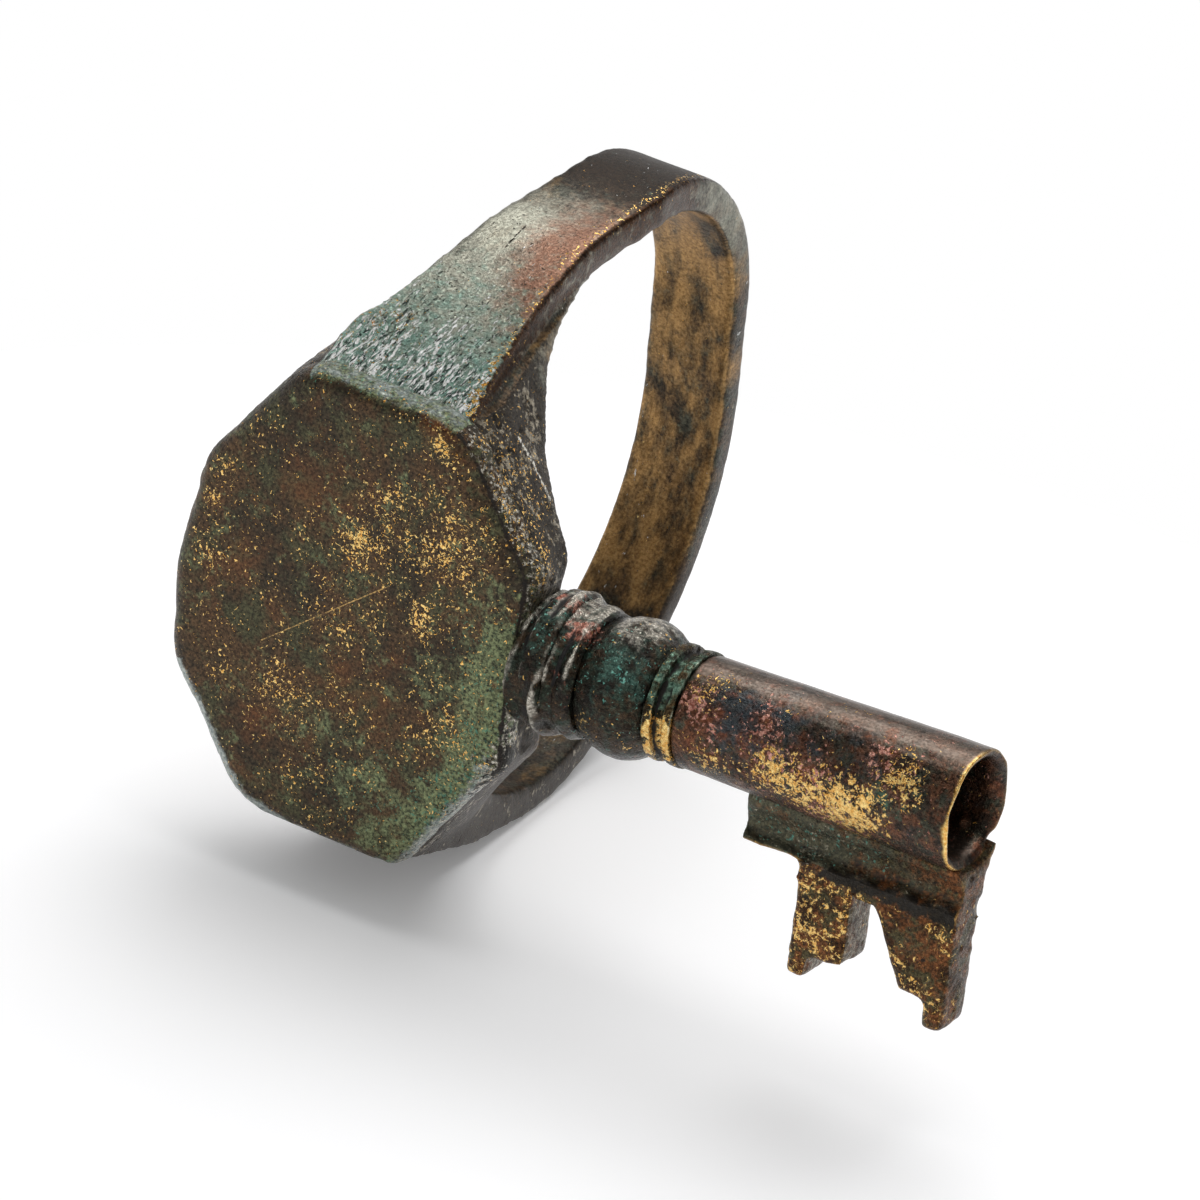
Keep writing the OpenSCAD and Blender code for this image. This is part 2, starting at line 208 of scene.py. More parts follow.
class Finish:
    """A material that is built up in layers; every size in it is in millimetres."""

    def __init__(self, name, seed, dark, brown, olive, size, metal, rough):
        self.material = bpy.data.materials.new(name)
        self.material.use_nodes = True
        self.tree = self.material.node_tree
        self.tree.nodes.clear()
        place = add(self.tree, "ShaderNodeTexCoord").outputs["Object"]
        self.mm = add(self.tree, "ShaderNodeVectorMath", {0: place, "Scale": 1 / MM}, operation="SCALE")
        self.seed = seed
        self.fine = self.patches(FINE_MM, 0.32, 0.68, detail=4)
        browned = self.patches(size, 0.42, 0.58)
        warm = add(self.tree, "ShaderNodeMix", {"Factor": browned, 6: tone(dark), 7: tone(brown)},
                   data_type="RGBA")
        greened = self.patches(0.6 * size, 0.48, 0.62)
        hue = add(self.tree, "ShaderNodeMix", {"Factor": greened, 6: warm.outputs[2], 7: tone(olive)},
                  data_type="RGBA")
        shade = add(self.tree, "ShaderNodeMapRange", {"Value": self.fine, "To Min": 0.25, "To Max": 1.75})
        self.colour = add(self.tree, "ShaderNodeVectorMath", {0: hue.outputs[2], "Scale": shade},
                          operation="SCALE")
        self.metal = metal
        self.rough = add(self.tree, "ShaderNodeMath", {0: self.fine, 1: -0.16, 2: rough + 0.08},
                         operation="MULTIPLY_ADD")
        here = add(self.tree, "ShaderNodeAttribute", attribute_name="rough").outputs["Fac"]
        self.height = add(self.tree, "ShaderNodeMath", {0: self.fine, 1: here}, operation="MULTIPLY")

    def patches(self, size, low, high, zone=None, gain=0.0, drift=0.0, detail=4, stretch=(1, 1, 1),
                twist=0.0):
        """A mask of uneven patches about that size; a zone of the piece and a slow drift help it along."""
        self.seed += 1
        shift = (7.3 * self.seed, -3.1 * self.seed, 5.7 * self.seed)
        moved = add(self.tree, "ShaderNodeVectorMath", {0: self.mm, 1: stretch, 2: shift},
                    operation="MULTIPLY_ADD")
        value = add(self.tree, "ShaderNodeTexNoise",
                    {"Vector": moved, "Scale": 1 / size, "Detail": detail, "Roughness": 0.7,
                     "Distortion": twist})
        if drift:
            slow = add(self.tree, "ShaderNodeTexNoise", {"Vector": moved, "Scale": 1.1, "Detail": 3})
            even = add(self.tree, "ShaderNodeMath", {0: slow, 1: 0.5}, operation="SUBTRACT")
            value = add(self.tree, "ShaderNodeMath", {0: even, 1: drift, 2: value}, operation="MULTIPLY_ADD")
        if zone:
            here = add(self.tree, "ShaderNodeAttribute", attribute_name=zone).outputs["Fac"]
            value = add(self.tree, "ShaderNodeMath", {0: here, 1: gain, 2: value}, operation="MULTIPLY_ADD")
        return add(self.tree, "ShaderNodeMapRange", {"Value": value, "From Min": low, "From Max": high},
                   interpolation_type="SMOOTHSTEP")

    def cover(self, mask, dark, light, metal, rough, lift=0.0):
        """Lays a film over what is there, where the mask is 1, in two shades that the fine grain mixes."""
        hue = add(self.tree, "ShaderNodeMix", {"Factor": self.fine, 6: tone(dark), 7: tone(light)},
                  data_type="RGBA")
        self.colour = add(self.tree, "ShaderNodeMix", {"Factor": mask, 6: self.colour, 7: hue.outputs[2]},
                          data_type="RGBA").outputs[2]
        self.metal = add(self.tree, "ShaderNodeMix", {"Factor": mask, 2: self.metal, 3: metal},
                         data_type="FLOAT")
        self.rough = add(self.tree, "ShaderNodeMix", {"Factor": mask, 2: self.rough, 3: rough},
                         data_type="FLOAT")
        self.height = add(self.tree, "ShaderNodeMath", {0: mask, 1: lift, 2: self.height},
                          operation="MULTIPLY_ADD")

    def flecks(self, size, start, gain, drift=0.25, detail=1, twist=0.8):
        """Flecks of old gilding, denser where the piece's gilt zone is strong."""
        mask = self.patches(size, start, start + 0.02, "gilt", gain, drift, detail, twist=twist)
        self.cover(mask, DEEP_GOLD, GOLD, 1.0, 0.24, 0.8)

    def relief_cover(self, start, end, dark, light, metal, rough, zone=None):
        """A film on what stands proud, or in hollows where start and end are negative; a zone confines it."""
        proud = add(self.tree, "ShaderNodeAttribute", attribute_name="relief").outputs["Fac"]
        mask = add(self.tree, "ShaderNodeMapRange", {"Value": proud, "From Min": start, "From Max": end},
                   interpolation_type="SMOOTHSTEP")
        if zone:
            here = add(self.tree, "ShaderNodeAttribute", attribute_name=zone).outputs["Fac"]
            mask = add(self.tree, "ShaderNodeMath", {0: mask, 1: here}, operation="MULTIPLY")
        self.cover(mask, dark, light, metal, rough)

    def scratch(self, start, end, width, colour, lift=-0.5):
        """One thin straight scratch or ridge between two points of the surface, broken by the fine grain."""
        way = Vector(end) - Vector(start)
        along = tuple(way.normalized())
        away = add(self.tree, "ShaderNodeVectorMath", {0: self.mm, 1: start}, operation="SUBTRACT")
        run = add(self.tree, "ShaderNodeVectorMath", {0: away, 1: along}, operation="DOT_PRODUCT")
        held = add(self.tree, "ShaderNodeClamp", {"Value": run.outputs["Value"], "Max": way.length})
        near = add(self.tree, "ShaderNodeVectorMath", {0: along, "Scale": held}, operation="SCALE")
        gap = add(self.tree, "ShaderNodeVectorMath", {0: away, 1: near}, operation="DISTANCE")
        broken = add(self.tree, "ShaderNodeMath", {0: self.fine, 1: 1.2 * width, 2: gap.outputs["Value"]},
                     operation="MULTIPLY_ADD")
        mask = add(self.tree, "ShaderNodeMapRange",
                   {"Value": broken, "From Min": 1.2 * width, "From Max": 0.7 * width})
        self.cover(mask, colour, colour, 0.9, 0.35, lift)

    def done(self, bump):
        """Joins the layers to one surface with its fine relief."""
        relief = add(self.tree, "ShaderNodeBump",
                     {"Strength": bump, "Distance": BUMP_MM * MM, "Height": self.height})
        skin = add(self.tree, "ShaderNodeBsdfPrincipled",
                   {"Base Color": self.colour, "Metallic": self.metal, "Roughness": self.rough,
                    "Normal": relief})
        add(self.tree, "ShaderNodeOutputMaterial", {"Surface": skin})
        return self.material


def bezel_bronze():
    """Cast bronze with a smooth olive-brown patina: a dull sheen, and gold in fine scattered flecks."""
    made = Finish("smooth patinated bronze bezel", 10, "#352d21", "#4d3a27", "#43412d", 2.0, 0.65, 0.38)
    made.cover(made.patches(1.3, 0.52, 0.95, "copper", 0.28, 0.0, 7), "#4a2c19", "#7d5030", 0.65, 0.38)
    made.cover(made.patches(0.5, 0.58, 0.8, "green", 0.26, 0.2, 8), "#181e15", "#8e986c", 0.55, 0.4)
    made.cover(made.patches(0.12, 0.7, 0.78, "green", 0.12, 0.25, 3), "#1f4a3c", "#5d9a7c", 0.3, 0.45, 0.2)
    made.cover(made.patches(0.3, 0.66, 0.95, "bare_and_sheen", 0.42, 0.0, 6), "#6b7575", "#b2b8b2", 0.9, 0.32)
    made.cover(made.patches(0.14, 0.7, 0.84, "silver_and_glints", 0.3, 0.1, 3), "#6b6455", "#e6e0d2", 0.95, 0.22, 0.8)
    made.cover(made.patches(0.2, 0.7, 0.82, "silver_and_glints", 0.24, 0.1, 3), "#0f0e0a", "#2a261c", 0.4, 0.45, -0.8)
    # Painted shade: a near-black film in the groove along the face's edge on the bit's side.
    made.cover(made.patches(0.35, 0.66, 0.86, "crease", 0.36, 0.2, 5), "#0d0a06", "#2b1e12", 0.4, 0.45, -0.5)
    made.flecks(0.105, 0.75, 0.14, 0.35)
    made.flecks(0.14, 0.78, 0.19, 0.4, 3, 1.2)
    made.scratch((-2.58, -10.3, -2.0), (1.18, -10.3, 1.12), 0.03, "#c9a468")
    made.relief_cover(-0.008, -0.035, "#0d0a07", "#1d1711", 0.2, 0.7)
    return made.done(0.5)


def shoulder_bronze():
    """Cast and hammered bronze: painted highlight and shade on the wrinkles by the bezel, green film there, a
    dark crown whose darkness is painted shade, golden inside.
    """
    made = Finish("hammered bronze shoulders", 30, "#2b261e", "#4a3a29", "#3a3a30", 1.2, 0.75, 0.36)
    along_band = (1, 0.45, 0.45)
    made.cover(made.patches(1.1, 0.52, 0.8, "tan", 0.17, 0.35, 6, along_band),
               "#846338", "#c09860", 0.7, 0.42)
    made.cover(made.patches(0.5, 0.62, 1.3, "bare_and_sheen", 0.8, 0.0, 6, along_band),
               "#8f8e80", "#bdbcab", 0.9, 0.32)
    # Painted shade: a dark brown film on the crown and low on the band's outside.
    made.cover(made.patches(0.5, 0.62, 1.2, "blue", 0.8, 0.0, 6), "#1f1811", "#392c20", 0.7, 0.48)
    made.cover(made.patches(0.4, 0.62, 1.3, "copper", 0.8, 0.0, 6), "#6f4d3d", "#9a7560", 0.9, 0.36)
    made.cover(made.patches(0.4, 0.58, 1.1, "green", 0.6, 0.0, 6), "#4c776a", "#9cc0b0", 0.65, 0.3)
    made.cover(made.patches(0.1, 0.68, 0.74, "bare_and_sheen", 0.05, 0.2, 2), "#2a261d", "#4f493c", 0.6, 0.4, -1.2)
    # Painted highlight and painted shade on the wrinkles: sunk dark strokes stand for the shade between them,
    # raised white strokes in pale matt paint for their glints.
    wrinkle = (1, 0.26, 0.26)
    made.cover(made.patches(0.09, 0.72, 0.79, "silver_and_glints", 0.22, 0.25, 3, wrinkle, 0.6),
               "#0d1814", "#2c423a", 0.4, 0.36, -1.8)
    made.cover(made.patches(0.08, 0.72, 0.76, "silver_and_glints", 0.22, 0.3, 3, wrinkle, 0.6),
               "#ebebe4", "#ffffff", 0.15, 0.2, 2.0)
    # Dark crust ground with pale grains; low on the band's outside this dark ground is partly painted shade.
    made.cover(made.patches(0.4, 0.56, 0.8, "crust", 0.4, 0.0, 6), "#17130e", "#41372a", 0.6, 0.4)
    made.cover(made.patches(0.22, 0.72, 0.8, "crust", 0.18, 0.45, 5), "#5f5647", "#b9af9b", 0.85, 0.28, 1.2)
    made.cover(made.patches(0.35, 0.64, 0.86, "crease", 0.42, 0.1, 5), "#1b0f06", "#4d2f14", 0.75, 0.28)
    made.flecks(0.1, 0.77, 0.17, 0.12)
    made.relief_cover(-0.008, -0.035, "#0d0a07", "#211a13", 0.2, 0.7)
    made.scratch((-0.69, -3.21, 8.73), (-0.74, -2.08, 9.06), 0.045, "#15100b")
    made.scratch((3.21, -7.96, 5.72), (3.72, -7.72, 4.97), 0.09, "#f2eee2", 1.0)
    made.scratch((3.72, -7.72, 4.97), (4.33, -7.67, 4.13), 0.09, "#f2eee2", 1.0)
    return made.done(0.6)


def neck_bronze():
    """Turned bronze, dark and glossy where it was handled, crusted green in the grooves."""
    made = Finish("turned dark bronze neck", 50, "#221d17", "#3d3023", "#2e342a", 0.8, 0.8, 0.18)
    made.cover(made.patches(0.4, 0.56, 0.86, "green", 0.22, 0.0, 6), "#1f4038", "#55796c", 0.6, 0.26, 0.3)
    made.cover(made.patches(0.15, 0.68, 0.76, "green", 0.12, 0.2, 3), "#2f8f80", "#9adccb", 0.2, 0.4, 0.4)
    made.cover(made.patches(0.3, 0.64, 0.8, "copper", 0.28), "#8a4636", "#e0a28e", 0.85, 0.28, 0.3)
    # Pale worn metal on the upward-facing tops, which also serves as a painted highlight.
    made.cover(made.patches(0.3, 0.66, 0.95, "bare_and_sheen", 0.4, 0.0, 6), "#8f897d", "#d8d2c5", 0.95, 0.18)
    made.flecks(0.12, 0.77, 0.16)
    made.relief_cover(-0.012, -0.04, "#0b0806", "#1a1410", 0.2, 0.6)
    # Pale worn metal on the rings' ridges, also laid as painted highlight lines along them.
    made.relief_cover(0.045, 0.085, "#6b655a", "#f2ebdc", 0.9, 0.18)
    return made.done(0.5)


def gilded_bronze():
    """Gilded bronze lip: bright gold in front, olive and green where the gold is gone."""
    made = Finish("worn gilded bronze lip", 70, "#2a2216", "#4a3a22", "#363b2c", 0.8, 0.8, 0.26)
    made.cover(made.patches(0.4, 0.58, 0.8, "green", 0.26), "#2a4a3b", "#8db39b", 0.6, 0.28, 0.3)
    made.flecks(0.22, 0.66, 0.2, 0.1, 5)
    made.relief_cover(-0.012, -0.04, "#0d0a06", "#1f1810", 0.2, 0.6)
    # Pale green-white worn metal on the lip's rims, also laid as painted highlight lines along them.
    made.relief_cover(0.045, 0.08, "#7d8a72", "#e6ead2", 0.95, 0.2)
    return made.done(0.5)


def barrel_bronze():
    """Gilded bronze pipe: brown and blue-grey film, copper blush, and gold in lacy patches."""
    made = Finish("worn gilded bronze barrel", 90, "#2e251e", "#5c3d2b", "#3a3a2f", 0.9, 0.8, 0.26)
    made.cover(made.patches(0.7, 0.56, 0.9, "blue", 0.36), "#2d3338", "#4f575a", 0.8, 0.24)
    # Pale worn metal along the upward-facing top, streaked lengthwise: a painted sheen there.
    drawn_out = (0.3, 1, 1)
    made.cover(made.patches(0.35, 0.54, 1.05, "bare_and_sheen", 0.4, 0.0, 7, drawn_out),
               "#5b4f46", "#83766b", 0.9, 0.32)
    made.cover(made.patches(0.45, 0.66, 0.82, "green", 0.26), "#24382c", "#4f6f5a", 0.6, 0.32)
    made.cover(made.patches(0.5, 0.57, 0.86, "copper", 0.16, 0.1, 6), "#55301f", "#8f573c", 0.85, 0.3)
    made.cover(made.patches(0.16, 0.7, 0.78, "copper", 0.17, 0.25, 5), "#944f40", "#efb7a4", 0.9, 0.28, 0.3)
    made.flecks(0.2, 0.76, 0.215, 0.22, 9, 0.5)
    made.flecks(0.11, 0.78, 0.15, 0.3)
    made.cover(made.patches(0.09, 0.63, 0.7, detail=3), "#2b1f16", "#4f3524", 0.75, 0.3, -0.4)
    made.relief_cover(-0.012, -0.04, "#0c0906", "#1c1510", 0.2, 0.6)
    made.relief_cover(0.01, 0.03, DEEP_GOLD, GOLD, 1.0, 0.22, "crease")
    return made.done(0.5)


def bit_bronze():
    """Soldered bronze bit: green-grey saddle, and red-brown wards thick with gold."""
    made = Finish("gilded bronze bit", 110, "#37220f", "#704526", "#49422b", 0.8, 0.8, 0.28)
    made.cover(made.patches(0.6, 0.52, 0.82, "green", 0.3), "#2e3027", "#605d49", 0.8, 0.22, 0.2)
    made.cover(made.patches(0.16, 0.72, 0.8, "green", 0.12, 0.25, 3), "#2c6558", "#6aa896", 0.3, 0.4, 0.3)
    upright = (1, 1, 0.5)
    made.cover(made.patches(0.16, 0.64, 0.84, "silver_and_glints", 0.28, 0.1, 4, upright),
               "#4b443b", "#a79f90", 0.9, 0.28, 0.8)
    made.cover(made.patches(0.22, 0.58, 0.7, detail=5), "#130e09", "#2b2116", 0.6, 0.36, -0.6)
    made.cover(made.patches(0.13, 0.66, 0.74, "green", 0.06, 0.2, 4), "#7d7865", "#bdb7a2", 0.9, 0.2, 0.5)
    made.flecks(0.18, 0.72, 0.17, 0.25, 7, 0.5)
    made.flecks(0.1, 0.79, 0.13, 0.3)
    made.relief_cover(-0.012, -0.04, "#0b0806", "#1b1410", 0.2, 0.6)
    # Gold on the wards' proud edges: gilding, also laid as painted rim highlights.
    made.relief_cover(0.02, 0.05, "#7b5626", "#e0b062", 0.95, 0.24, "gilt")
    made.cover(made.patches(0.3, 0.6, 0.8, "crease", 0.4), "#14100b", "#2b251c", 0.7, 0.16)
    return made.done(0.5)


FINISHES = {
    "shoulder_bronze": shoulder_bronze(),
    "bezel_bronze": bezel_bronze(),
    "neck_bronze": neck_bronze(),
    "gilded_bronze": gilded_bronze(),
    "barrel_bronze": barrel_bronze(),
    "bit_bronze": bit_bronze(),
}


# Worn skin: edges rounded by wear, slow waves, dents, grain and pits, all in millimetres
SKIN_SIZES = {
    "Round Steps": "NodeSocketInt", "Relief Steps": "NodeSocketInt",
    "Wave Depth": "NodeSocketFloat", "Wave Size": "NodeSocketFloat",
    "Dent Depth": "NodeSocketFloat", "Dent Size": "NodeSocketFloat",
    "Grain Depth": "NodeSocketFloat", "Grain Size": "NodeSocketFloat", "Grain Stretch": "NodeSocketVector",
    "Pit Depth": "NodeSocketFloat", "Pit Size": "NodeSocketFloat",
    "Seed": "NodeSocketFloat", "Finish": "NodeSocketMaterial",
}


def skin_tree():
    """Rounds a mesh where its soften zone lets it, roughens it by its rough zone and keeps its relief."""
    tree = bpy.data.node_groups.new("worn bronze skin", "GeometryNodeTree")
    tree.interface.new_socket("Geometry", in_out="INPUT", socket_type="NodeSocketGeometry")
    for name, kind in SKIN_SIZES.items():
        tree.interface.new_socket(name, in_out="INPUT", socket_type=kind)
    tree.interface.new_socket("Geometry", in_out="OUTPUT", socket_type="NodeSocketGeometry")
    given = add(tree, "NodeGroupInput").outputs
    place = add(tree, "GeometryNodeInputPosition")
    normal = add(tree, "GeometryNodeInputNormal")
    rough = add(tree, "GeometryNodeInputNamedAttribute", {"Name": "rough"}, data_type="FLOAT")
    soften = add(tree, "GeometryNodeInputNamedAttribute", {"Name": "soften"}, data_type="FLOAT")

    rounded = add(tree, "GeometryNodeBlurAttribute",
                  {"Value": place, "Iterations": given["Round Steps"], "Weight": soften},
                  data_type="FLOAT_VECTOR")
    body = add(tree, "GeometryNodeSetPosition", {"Geometry": given["Geometry"], "Position": rounded})

    def uneven(size, detail, shift, middle, depth, stretch=(1, 1, 1)):
        """Bumps of that size and depth, above and below their middle."""
        spread = add(tree, "ShaderNodeVectorMath", {0: place, 1: stretch}, operation="MULTIPLY")
        seed = add(tree, "ShaderNodeMath", {0: given["Seed"], 1: shift})
        often = add(tree, "ShaderNodeMath", {0: 1.0, 1: size}, operation="DIVIDE")
        noise = add(tree, "ShaderNodeTexNoise",
                    {"Vector": spread, "W": seed, "Scale": often, "Detail": detail}, noise_dimensions="4D")
        level = add(tree, "ShaderNodeMath", {0: noise, 1: middle}, operation="SUBTRACT")
        twice = add(tree, "ShaderNodeMath", {0: level, 1: 2.0}, operation="MULTIPLY")
        return add(tree, "ShaderNodeMath", {0: twice, 1: depth}, operation="MULTIPLY")

    wave = uneven(given["Wave Size"], 1.0, 0.0, 0.5, given["Wave Depth"])
    grain = uneven(given["Grain Size"], 3.0, 11.0, 0.5, given["Grain Depth"], given["Grain Stretch"])
    dent = uneven(given["Dent Size"], 1.0, 5.0, 0.55, given["Dent Depth"])
    hollow = add(tree, "ShaderNodeMath", {0: dent, 1: 0.0}, operation="MAXIMUM")
    often = add(tree, "ShaderNodeMath", {0: 1.0, 1: given["Pit Size"]}, operation="DIVIDE")
    cells = add(tree, "ShaderNodeTexVoronoi", {"Vector": place, "W": given["Seed"], "Scale": often},
                voronoi_dimensions="4D")
    pit = add(tree, "ShaderNodeMapRange", {"Value": cells, "From Min": 0.3, "From Max": 0.1},
              interpolation_type="SMOOTHSTEP")
    sunk = add(tree, "ShaderNodeMath", {0: pit, 1: given["Pit Depth"], 2: hollow}, operation="MULTIPLY_ADD")
    crust = add(tree, "ShaderNodeMath", {0: grain, 1: sunk}, operation="SUBTRACT")
    moved = add(tree, "ShaderNodeMath", {0: crust, 1: rough, 2: wave}, operation="MULTIPLY_ADD")
    push = add(tree, "ShaderNodeVectorMath", {0: normal, "Scale": moved}, operation="SCALE")
    body = add(tree, "GeometryNodeSetPosition", {"Geometry": body, "Offset": push})

    even = add(tree, "GeometryNodeBlurAttribute", {"Value": place, "Iterations": given["Relief Steps"]},
               data_type="FLOAT_VECTOR")
    away = add(tree, "ShaderNodeVectorMath", {0: place, 1: even}, operation="SUBTRACT")
    proud = add(tree, "ShaderNodeVectorMath", {0: away, 1: normal}, operation="DOT_PRODUCT").outputs["Value"]
    shown = add(tree, "ShaderNodeMath", {0: proud, 1: soften}, operation="MULTIPLY")
    body = add(tree, "GeometryNodeStoreNamedAttribute", {"Geometry": body, "Name": "relief", "Value": shown},
               data_type="FLOAT", domain="POINT")
    whole = add(tree, "GeometryNodeRealizeInstances", {"Geometry": body})
    done = add(tree, "GeometryNodeSetMaterial", {"Geometry": whole, "Material": given["Finish"]})
    add(tree, "NodeGroupOutput", {"Geometry": done})
    return tree


SKIN = skin_tree()
PLAIN_SKIN = {
    "Wave Depth": 0.03, "Wave Size": 2.5, "Dent Depth": 0.15, "Dent Size": 0.9,
    "Grain Depth": 0.03, "Grain Size": 0.3, "Grain Stretch": (1.0, 1.0, 1.0),
    "Pit Depth": 0.04, "Pit Size": 0.5, "Seed": 0.0,
}
RELIEF_MM = 0.15
ZONES = ("rough", "soften", "gilt", "green", "copper", "bare_and_sheen", "silver_and_glints", "tan", "blue", "crease", "crust")


def evaluated(piece):
    """The piece's mesh with its modifiers worked in."""
    graph = bpy.context.evaluated_depsgraph_get()
    return bpy.data.meshes.new_from_object(piece.evaluated_get(graph), preserve_all_data_layers=True,
                                           depsgraph=graph)


def remeshed(node, voxel):
    """A copy of a node's solid in millimetres, as an even closed mesh."""
    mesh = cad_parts[node].data.copy()
    mesh.materials.clear()
    mesh.transform(Matrix.Scale(1 / MM, 4))
    solid = bmesh.new()
    solid.from_mesh(mesh)
    bmesh.ops.remove_doubles(solid, verts=solid.verts, dist=0.0005)
    bmesh.ops.recalc_face_normals(solid, faces=solid.faces)
    solid.to_mesh(mesh)
    solid.free()
    piece = bpy.data.objects.new(node + "_worn", mesh)
    scene.collection.objects.link(piece)
    even = piece.modifiers.new("even", "REMESH")
    even.mode, even.voxel_size, even.use_smooth_shade = "VOXEL", voxel, True
    piece.data = evaluated(piece)
    piece.modifiers.clear()
    return piece


def points_of(mesh):
    flat = np.empty(len(mesh.vertices) * 3, np.float32)
    mesh.vertices.foreach_get("co", flat)
    return flat.reshape(-1, 3)


def normals_of(mesh):
    flat = np.empty(len(mesh.vertices) * 3, np.float32)
    mesh.vertex_normals.foreach_get("vector", flat)
    return flat.reshape(-1, 3)


def put_points(mesh, points):
    mesh.vertices.foreach_set("co", np.ascontiguousarray(points, np.float32).ravel())
    mesh.update()


def ramp(values, low, high):
    """A soft step from 0 to 1 as the values go from low to high."""
    share = np.clip((values - low) / (high - low), 0, 1)
    return share * share * (3 - 2 * share)


def spots(points, *places):
    """How strong soft round spots are at each point; each spot is x, y, z, radius and strength."""
    total = np.zeros(len(points), np.float32)
    for x, y, z, radius, strength in places:
        apart = np.linalg.norm(points - np.array((x, y, z), np.float32), axis=1)
        total += strength * np.exp(-(apart / radius) ** 2)
    return total


def worn(node, voxel, slot, zones, edge, shape=None, **sizes):
    """Makes a node's worn piece: even mesh, zones of finish, skin, then its place in metres."""
    piece = remeshed(node, voxel)
    points = points_of(piece.data)
    strengths = {"rough": 1.0, "soften": 1.0, **zones(points, normals_of(piece.data))}
    for name in ZONES:
        values = np.broadcast_to(np.asarray(strengths.get(name, 0.0), np.float32), len(points))
        layer = piece.data.attributes.new(name, "FLOAT", "POINT")
        layer.data.foreach_set("value", np.ascontiguousarray(values))
    if shape:
        put_points(piece.data, shape(points))
    skin = piece.modifiers.new("skin", "NODES")
    skin.node_group = SKIN
    given = {**PLAIN_SKIN, **{name.replace("_", " ").title(): size for name, size in sizes.items()}}
    given["Round Steps"] = max(1, round(2 * (edge / voxel) ** 2))
    given["Relief Steps"] = max(1, round(2 * (RELIEF_MM / voxel) ** 2))
    given["Finish"] = FINISHES[slot]
    for socket in SKIN.interface.items_tree:
        if socket.in_out == "INPUT" and socket.name in given:
            skin[socket.identifier] = given[socket.name]
    mesh = evaluated(piece)
    piece.modifiers.clear()
    piece.data = mesh
    low, high = (np.array(corner) / MM for corner in cad_box)
    put_points(mesh, np.clip(points_of(mesh), low, high) * MM)
    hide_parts(node)
    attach(piece, "root")
    return piece


# Places in the solids, in millimetres: the bezel's face and seat, and the shank's axis
FACE_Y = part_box("bezel_plate")[0].y / MM
SEAT_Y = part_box("bezel_plate")[1].y / MM
SHANK_X, SHANK_Y, SHANK_Z = 5.4, -8.65, 0.05
SHANK_LEAN = math.radians(2.2)
MOUTH_AT = 13.9
SADDLE_DROP = 2.9
RIB_BOTTOM = 3.45
# How far a piece runs on into its neighbour, so that no light shows in the seam
SEAM_LAP = 0.12


def on_shank(p):
    """Places along the shank's axis, behind it and above it."""
    x, z = p[:, 0] - SHANK_X, p[:, 2] - SHANK_Z
    sine, cosine = math.sin(SHANK_LEAN), math.cos(SHANK_LEAN)
    return x * cosine + z * sine, p[:, 1] - SHANK_Y, z * cosine - x * sine


def face_corners():
    """The corners of the bezel's face in X and Z, clockwise, and the way out from each one's next edge."""
    solid = points_of(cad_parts["bezel_plate"].data) / MM
    corners = np.unique(solid[solid[:, 1] < FACE_Y + 0.01][:, [0, 2]].round(3), axis=0)
    corners = corners[np.argsort(np.arctan2(*(corners - corners.mean(axis=0)).T))]
    edges = np.roll(corners, -1, axis=0) - corners
    return corners, np.stack((-edges[:, 1], edges[:, 0]), axis=1) / np.linalg.norm(edges, axis=1)[:, None]


def face_inset(p):
    """How far points lie inside the bezel's outline, and the way in from the nearest edge."""
    corners, outward = face_corners()
    depths = np.stack([(corner - p[:, [0, 2]]) @ way for corner, way in zip(corners, outward)])
    return depths.min(axis=0), -outward[depths.argmin(axis=0)]


OUTLINE_ROUNDING = 2.2
FOOT_ROUNDING = 0.7


def rounded_outline(p, share):
    """Draws the bezel's corners in to arcs, by that share at each point."""
    corners, outward = face_corners()
    moved = p[:, [0, 2]].copy()
    for corner, first, second in zip(corners, np.roll(outward, 1, axis=0), outward):
        rounding = FOOT_ROUNDING if corner[1] < -5 and corner[0] > 0 else OUTLINE_ROUNDING
        middle = corner - rounding * (first + second) / (1 + first @ second)
        away = p[:, [0, 2]] - middle
        past_first = first[1] * away[:, 0] > first[0] * away[:, 1]
        before_second = away[:, 1] * second[0] > away[:, 0] * second[1]
        between = past_first & before_second
        short = np.maximum(away @ first, away @ second) / np.maximum(np.linalg.norm(away, axis=1), 1e-6)
        moved[between] += (share * (short - 1))[between, None] * away[between]
    p[:, [0, 2]] = moved
    return p


def lumps(p):
    """Crust that stands out on the flank, above and below the shank's foot."""
    return spots(p, (5.3, -9.4, 2.9, 0.6, 0.28), (5.3, -9.9, -3.1, 0.6, 0.25), (4.6, -9.3, 4.3, 0.5, 0.12))


FAR_WIDENING = 0.25
LOW_FILLING = 0.4
SEAT_DRAWN_IN = 0.012


def far_fill(p):
    """Fills the upper far corner out, on the plate's edge and the shoulder behind it alike."""
    x, y, z = p.T.copy()
    web = ramp(-x, 0.8, 2.2) * ramp(z, 3.5, 5.5) * np.exp(-((y + 8.0) / 1.6) ** 2)
    p[:, 0] -= FAR_WIDENING * web
    p[:, 2] += FAR_WIDENING * 0.5 * web
    return p


def low_fill(p):
    """Lowers the bezel's foot and the outside of the band behind it, and leaves the finger hole round."""
    outer = ramp(np.hypot(p[:, 1], p[:, 2]), 8.3, 9.0)
    p[:, 2] -= LOW_FILLING * outer * ramp(-p[:, 2], 4.0, 7.0) * ramp(-p[:, 1], 1.5, 5.0)
    return p


